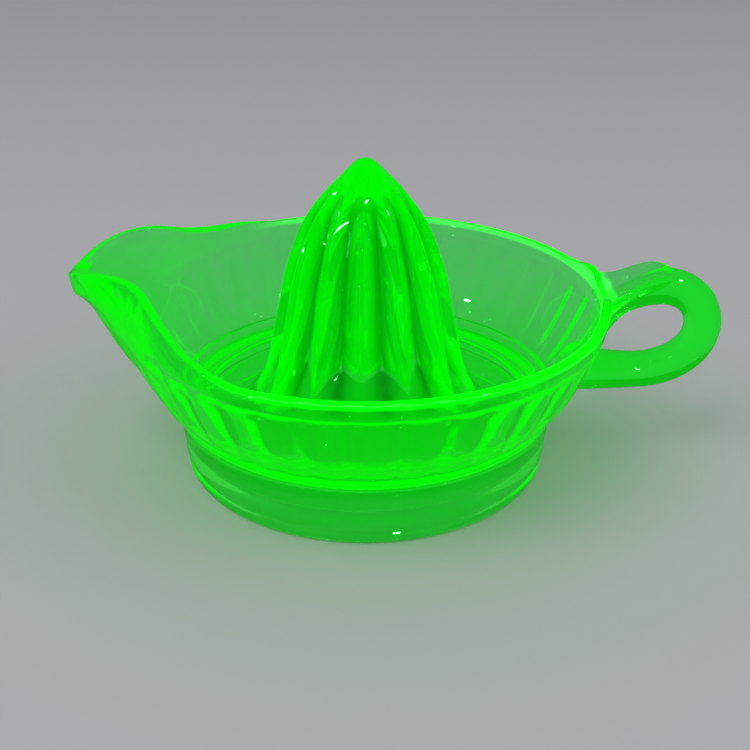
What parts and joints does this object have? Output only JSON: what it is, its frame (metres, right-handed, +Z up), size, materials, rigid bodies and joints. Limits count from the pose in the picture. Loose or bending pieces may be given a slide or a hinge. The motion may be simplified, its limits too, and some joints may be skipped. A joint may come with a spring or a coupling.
{
  "type": "footed glass citrus reamer dish",
  "caption": "Footed pressed-glass citrus reamer dish: fluted round bowl with a ribbed hollow cone, a raised pouring spout and a loop handle with a thumb rest.",
  "frame": {"origin": "middle of the overall length and width, on the table plane; the bowl axis is 10.5 mm towards -X from it", "axes": "+Z up, +X towards the loop handle, the spout points along -X, the XZ plane is the plane of symmetry"},
  "size_m": [0.2062, 0.152, 0.0985],
  "materials": {
    "uranium_glass": "fire-polished pressed glass, glowing green under ultraviolet light"
  },
  "bodies": {
    "root": {"foot_ring": "uranium_glass", "bowl": "uranium_glass", "reamer_cone": "uranium_glass", "pouring_spout": "uranium_glass", "loop_handle": "uranium_glass", "thumb_rest": "uranium_glass"}
  },
  "joints": []
}
